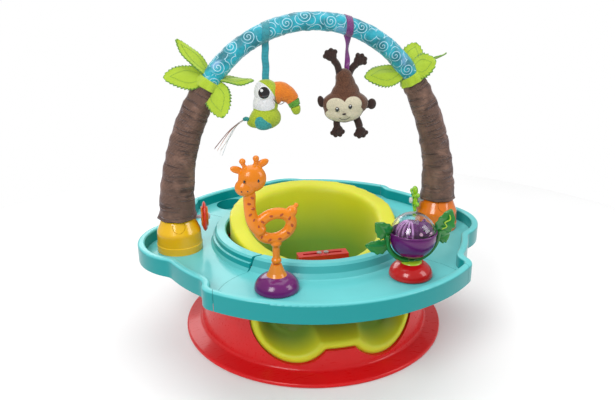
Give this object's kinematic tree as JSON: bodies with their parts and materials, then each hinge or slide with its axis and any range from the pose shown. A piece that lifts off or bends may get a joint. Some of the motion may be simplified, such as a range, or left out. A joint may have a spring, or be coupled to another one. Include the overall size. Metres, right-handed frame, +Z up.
{
  "type": "activity seat",
  "caption": "Floor activity seat: foam seat in a red base, an aqua tray that swivels round it, palm-tree toy bar with hanging plush toys and rattles on suction bases.",
  "frame": {"origin": "centre of the round base on the floor", "axes": "+Z up, -Y towards the front where the legs come out, +X towards the orange palm base"},
  "size_m": [0.562, 0.544, 0.5045],
  "materials": {
    "base_red": "gloss",
    "inner_plate": "satin",
    "seat_foam": "matte",
    "belt_red": "gloss",
    "pad_rubber": "matte",
    "steel": "satin",
    "glide_white": "satin",
    "tray_aqua": "gloss",
    "ring_grey": "satin",
    "palm_yellow": "gloss",
    "palm_orange": "gloss",
    "pin_white": "satin",
    "tube_plastic": "satin",
    "sleeve_print": "matte",
    "trunk_brown": "matte",
    "leaf_felt": "matte",
    "spinner_red": "gloss",
    "spinner_green": "gloss",
    "suction_purple": "gloss",
    "suction_red": "gloss",
    "giraffe_amber": "gloss",
    "giraffe_orange": "gloss",
    "beet_green": "gloss",
    "beet_purple": "gloss",
    "beet_clear": "clear",
    "ribbon_teal": "satin",
    "ribbon_purple": "satin",
    "toucan_lime": "matte",
    "toucan_beak": "matte",
    "toucan_teal": "matte",
    "monkey_brown": "matte",
    "monkey_dark": "matte"
  },
  "bodies": {
    "base": {"base_shell": "base_red", "base_floor": "inner_plate", "seat_insert": "seat_foam", "belt_bar": "belt_red", "foot_pads": "pad_rubber", "glide_pads": "glide_white", "base_screws": "steel"},
    "tray": {"tray_front": "tray_aqua", "tray_left": "tray_aqua", "tray_back": "tray_aqua", "tray_right": "tray_aqua", "swivel_ring": "ring_grey", "retainer_clips": "ring_grey", "tray_screws": "steel", "palm_base_left": "palm_yellow", "palm_base_right": "palm_orange", "palm_base_screws": "steel", "spinner_pin_left": "pin_white", "spinner_pin_right": "pin_white", "giraffe_base": "suction_purple", "beet_base": "suction_red"},
    "release_left": {"release_tab_left": "palm_yellow"},
    "release_right": {"release_tab_right": "palm_orange"},
    "toy_bar": {"bar_tube": "tube_plastic", "bar_plugs": "tube_plastic", "bar_sleeve": "sleeve_print", "trunk_left": "trunk_brown", "trunk_right": "trunk_brown", "leaf_left_out": "leaf_felt", "leaf_left_up": "leaf_felt", "leaf_left_down": "leaf_felt", "leaf_left_in": "leaf_felt", "leaf_right_in": "leaf_felt", "leaf_right_down": "leaf_felt", "leaf_right_out": "leaf_felt", "leaf_right_up": "leaf_felt"},
    "toucan": {"toucan_strap": "ribbon_teal", "toucan_body": "toucan_lime", "toucan_beak": "toucan_beak", "toucan_wing": "toucan_teal", "toucan_tail": "toucan_teal"},
    "monkey": {"monkey_strap": "ribbon_purple", "monkey_body": "monkey_brown", "monkey_head": "monkey_brown", "monkey_limbs": "monkey_dark", "monkey_ears": "monkey_dark"},
    "giraffe_rocker": {"giraffe_foot": "giraffe_amber", "giraffe_pivot": "pin_white"},
    "giraffe": {"giraffe_figure": "giraffe_orange"},
    "beet_fork": {"beet_stem": "beet_green", "beet_axle": "pin_white"},
    "beet_ball": {"beet_cup": "beet_purple", "beet_window": "beet_clear", "beet_face": "beet_purple"},
    "left_spinner": {"spinner_left": "spinner_red"},
    "right_spinner": {"spinner_right": "spinner_green"}
  },
  "joints": [
    {"name": "tray_turn", "type": "hinge", "parent": "base", "child": "tray", "pos_m": [0, 0, 0.14], "axis": [0, 0, 1], "continuous": true},
    {"name": "release_press_left", "type": "slide", "parent": "tray", "child": "release_left", "axis": [0, 1, 0], "range_m": [0, 0.002], "stiffness_N_per_m": 400},
    {"name": "release_press_right", "type": "slide", "parent": "tray", "child": "release_right", "axis": [0, 1, 0], "range_m": [0, 0.002], "stiffness_N_per_m": 400},
    {"name": "bar_lift", "type": "slide", "parent": "tray", "child": "toy_bar", "axis": [0, 0, 1], "range_m": [0, 0.06]},
    {"name": "toucan_swing", "type": "hinge", "parent": "toy_bar", "child": "toucan", "pos_m": [-0.073, 0, 0.4752], "axis": [0.9207, 0, 0.3904], "range_deg": [-60, 60]},
    {"name": "monkey_swing", "type": "hinge", "parent": "toy_bar", "child": "monkey", "pos_m": [0.053, 0, 0.4823], "axis": [0.959, 0, -0.2834], "range_deg": [-60, 60]},
    {"name": "giraffe_rock", "type": "hinge", "parent": "tray", "child": "giraffe_rocker", "pos_m": [-0.091, -0.1746, 0.1607], "axis": [1, 0, 0], "range_deg": [-8, 8], "stiffness_Nm_per_rad": 0.6},
    {"name": "giraffe_spin", "type": "hinge", "parent": "giraffe_rocker", "child": "giraffe", "pos_m": [-0.091, -0.1746, 0.184], "axis": [0, 0, 1], "continuous": true},
    {"name": "beet_turn", "type": "hinge", "parent": "tray", "child": "beet_fork", "pos_m": [0.104, -0.1746, 0.165], "axis": [0, 0, 1], "continuous": true},
    {"name": "beet_roll", "type": "hinge", "parent": "beet_fork", "child": "beet_ball", "pos_m": [0.104, -0.1746, 0.208], "axis": [1, 0, 0], "continuous": true},
    {"name": "left_spin", "type": "hinge", "parent": "tray", "child": "left_spinner", "pos_m": [-0.176, 0, 0.196], "axis": [1, 0, 0], "continuous": true},
    {"name": "right_spin", "type": "hinge", "parent": "tray", "child": "right_spinner", "pos_m": [0.176, 0, 0.196], "axis": [1, 0, 0], "continuous": true}
  ]
}
